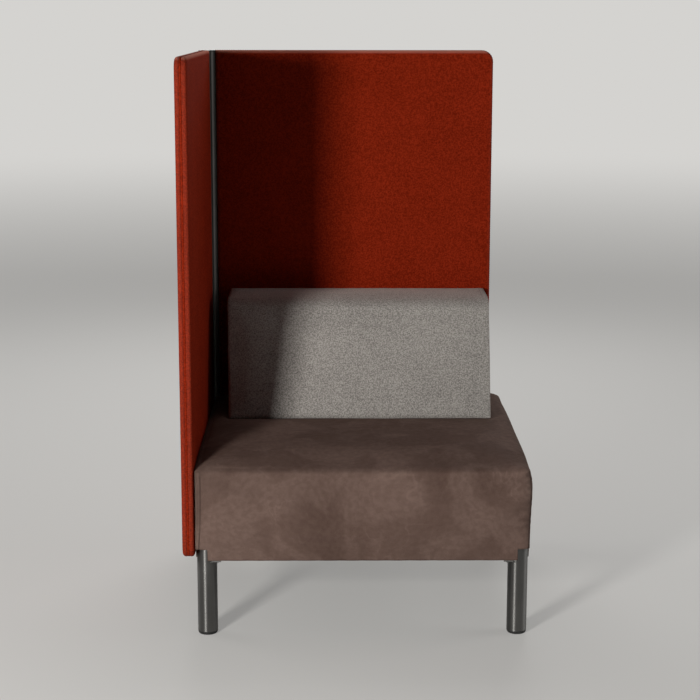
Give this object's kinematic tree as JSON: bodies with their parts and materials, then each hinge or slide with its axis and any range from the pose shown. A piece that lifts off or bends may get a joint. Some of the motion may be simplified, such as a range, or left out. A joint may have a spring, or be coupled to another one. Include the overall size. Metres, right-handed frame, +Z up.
{
  "type": "upholstered bench",
  "caption": "Low upholstered bench seat on tubular steel legs, with a loose wedge back cushion and tall felt screens along its left side and back, joined by a metal corner post.",
  "frame": {"origin": "on the floor, under the middle of the whole bench's box", "axes": "+X to the right as seen from the front, +Y from the seat's front to the back screen, +Z up"},
  "size_m": [0.8348, 0.8098, 1.373],
  "materials": {
    "suede": "matte",
    "felt": "matte",
    "wool": "matte",
    "foam": "matte",
    "wood": "matte",
    "webbing": "matte",
    "steel": "satin",
    "zinc": "satin",
    "plastic": "satin",
    "anodised": "satin"
  },
  "bodies": {
    "bench": {"seat_cover": "suede", "seat_foam": "foam", "dust_sheet": "webbing", "frame_front_rail": "wood", "frame_rear_rail": "wood", "frame_left_rail": "wood", "frame_right_rail": "wood", "frame_centre_rail": "wood", "corner_block_front_left": "wood", "corner_block_front_right": "wood", "corner_block_rear_left": "wood", "corner_block_rear_right": "wood", "webbing_strap_1": "webbing", "webbing_strap_2": "webbing", "webbing_strap_3": "webbing", "webbing_strap_4": "webbing", "webbing_strap_5": "webbing", "leg_tube_front_left": "steel", "leg_tube_front_right": "steel", "leg_tube_rear_left": "steel", "leg_tube_rear_right": "steel", "leg_plate_front_left": "steel", "leg_plate_front_right": "steel", "leg_plate_rear_left": "steel", "leg_plate_rear_right": "steel", "leg_bolt_front_left": "zinc", "leg_bolt_front_right": "zinc", "leg_bolt_rear_left": "zinc", "leg_bolt_rear_right": "zinc", "glide_socket_front_left": "plastic", "glide_socket_front_right": "plastic", "glide_socket_rear_left": "plastic", "glide_socket_rear_right": "plastic", "left_screen_core": "wood", "left_screen_inner_pad": "foam", "left_screen_outer_pad": "foam", "left_screen_inner_cover": "felt", "left_screen_outer_cover": "felt", "left_screen_seam_band": "felt", "left_screen_bolt_first": "zinc", "left_screen_bolt_second": "zinc", "back_screen_core": "wood", "back_screen_inner_pad": "foam", "back_screen_outer_pad": "foam", "back_screen_inner_cover": "felt", "back_screen_outer_cover": "felt", "back_screen_seam_band": "felt", "back_screen_bolt_first": "zinc", "back_screen_bolt_second": "zinc", "corner_post": "anodised", "corner_post_top_cap": "plastic", "corner_post_foot_cap": "plastic"},
    "back_cushion": {"cushion_cover": "wool", "cushion_foam": "foam", "cushion_zip": "plastic"},
    "glide_front_left": {"levelling_glide_front_left": "plastic"},
    "glide_front_right": {"levelling_glide_front_right": "plastic"},
    "glide_rear_left": {"levelling_glide_rear_left": "plastic"},
    "glide_rear_right": {"levelling_glide_rear_right": "plastic"}
  },
  "joints": [
    {"name": "cushion_lift", "type": "slide", "parent": "bench", "child": "back_cushion", "axis": [0, 0, 1], "range_m": [0, 0.35]},
    {"name": "front_left_levelling", "type": "slide", "parent": "bench", "child": "glide_front_left", "axis": [0, 0, -1], "range_m": [0, 0.012]},
    {"name": "front_right_levelling", "type": "slide", "parent": "bench", "child": "glide_front_right", "axis": [0, 0, -1], "range_m": [0, 0.012]},
    {"name": "rear_left_levelling", "type": "slide", "parent": "bench", "child": "glide_rear_left", "axis": [0, 0, -1], "range_m": [0, 0.012]},
    {"name": "rear_right_levelling", "type": "slide", "parent": "bench", "child": "glide_rear_right", "axis": [0, 0, -1], "range_m": [0, 0.012]}
  ]
}
